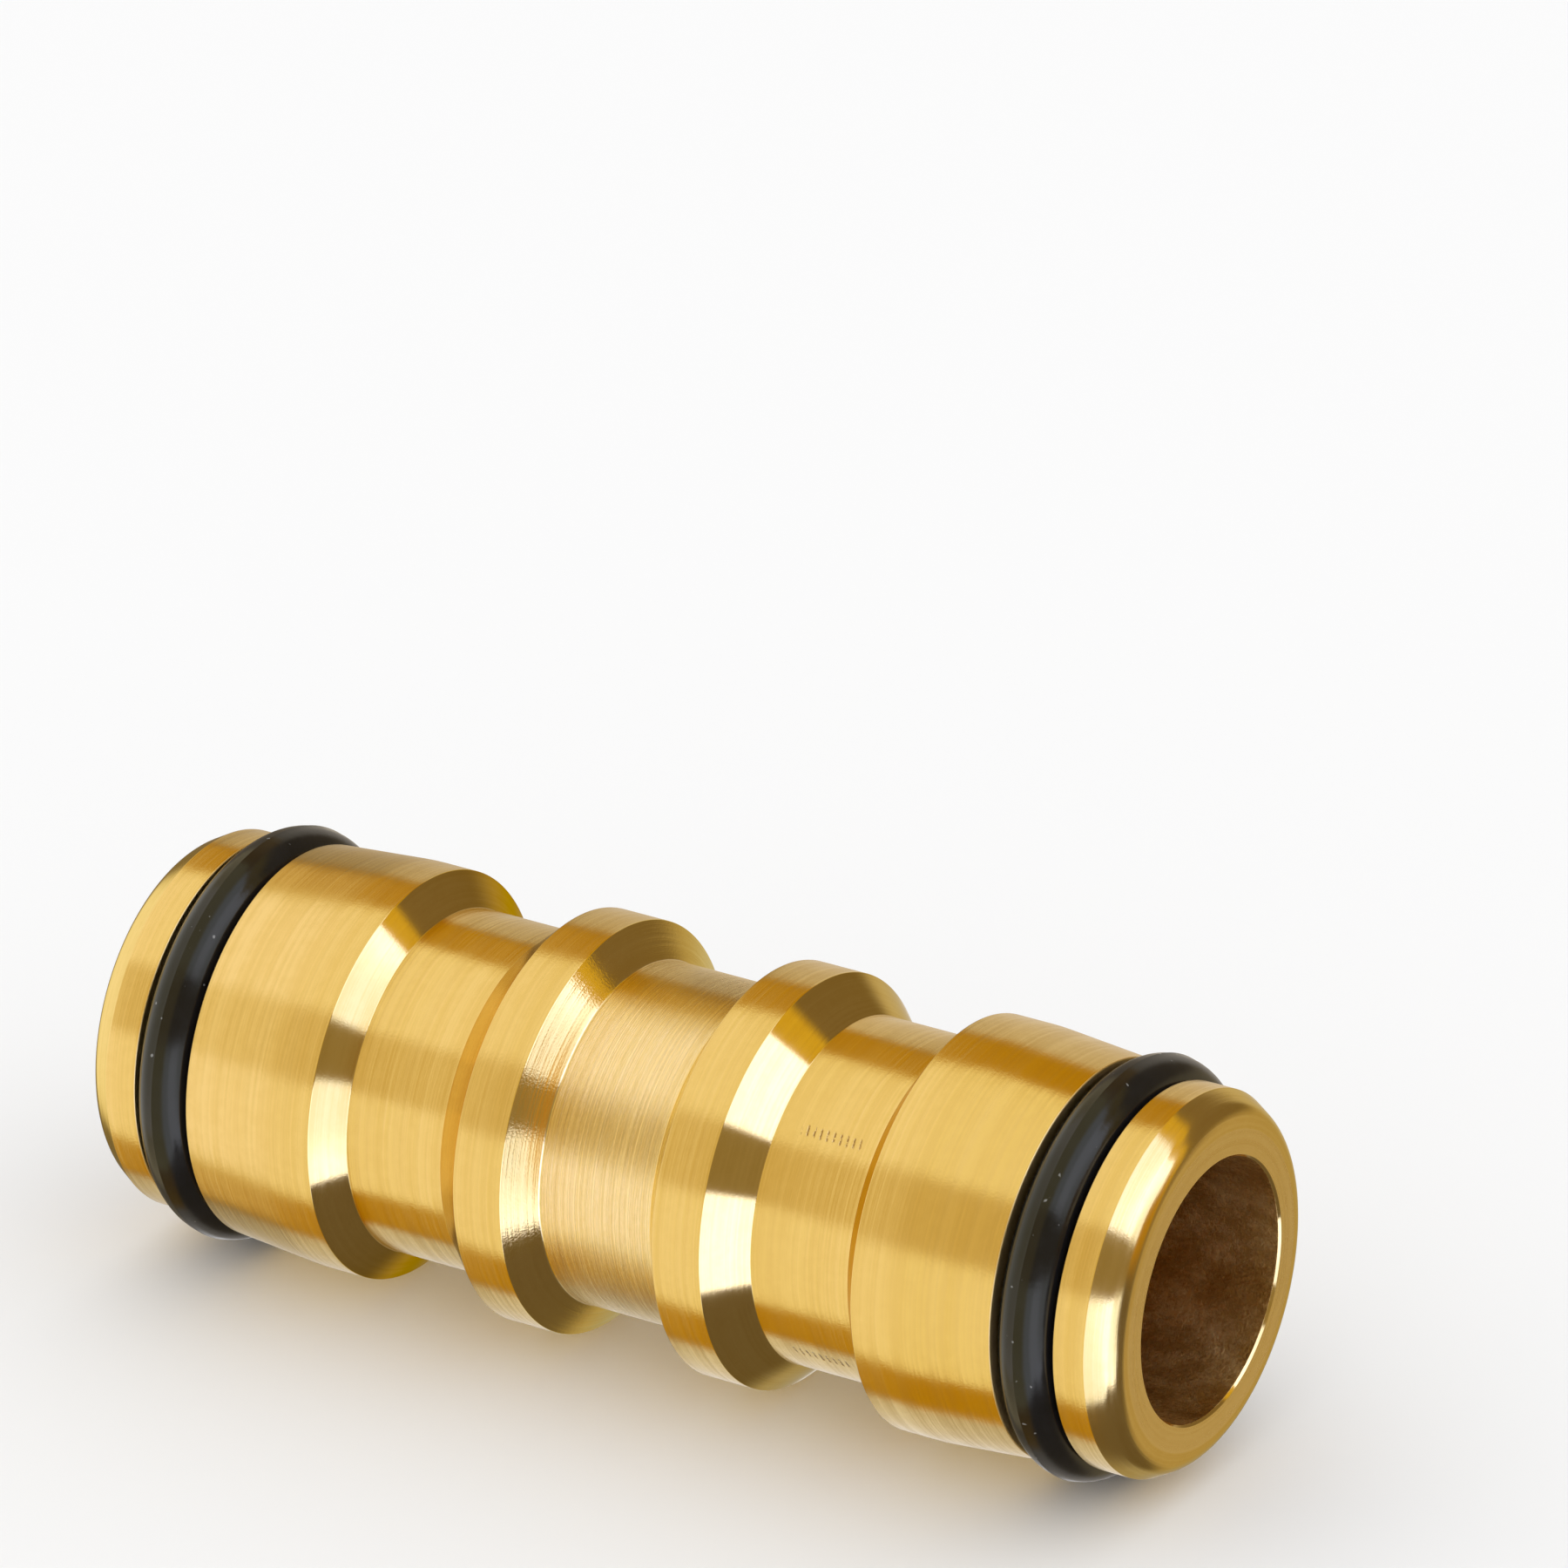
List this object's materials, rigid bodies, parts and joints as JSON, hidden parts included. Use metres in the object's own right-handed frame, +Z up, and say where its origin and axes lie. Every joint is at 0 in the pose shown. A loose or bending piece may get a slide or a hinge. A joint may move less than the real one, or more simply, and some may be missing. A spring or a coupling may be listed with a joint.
{
  "type": "hose coupler",
  "caption": "Straight male-to-male snap coupler for garden hose connectors: turned brass body with a through bore, locking necks, raised collars and an O-ring near each end.",
  "frame": {"origin": "bottom centre of the coupler's bounding box, midway along its length, on the floor that its O-rings rest on", "axes": "+X along the coupler's bore axis, which lies level; +Z up"},
  "size_m": [0.048, 0.0172, 0.0173],
  "materials": {
    "brass": "satin turned",
    "rubber": "satin"
  },
  "bodies": {
    "root": {"coupler_body": "brass", "o_ring_left": "rubber", "o_ring_right": "rubber"}
  },
  "joints": []
}
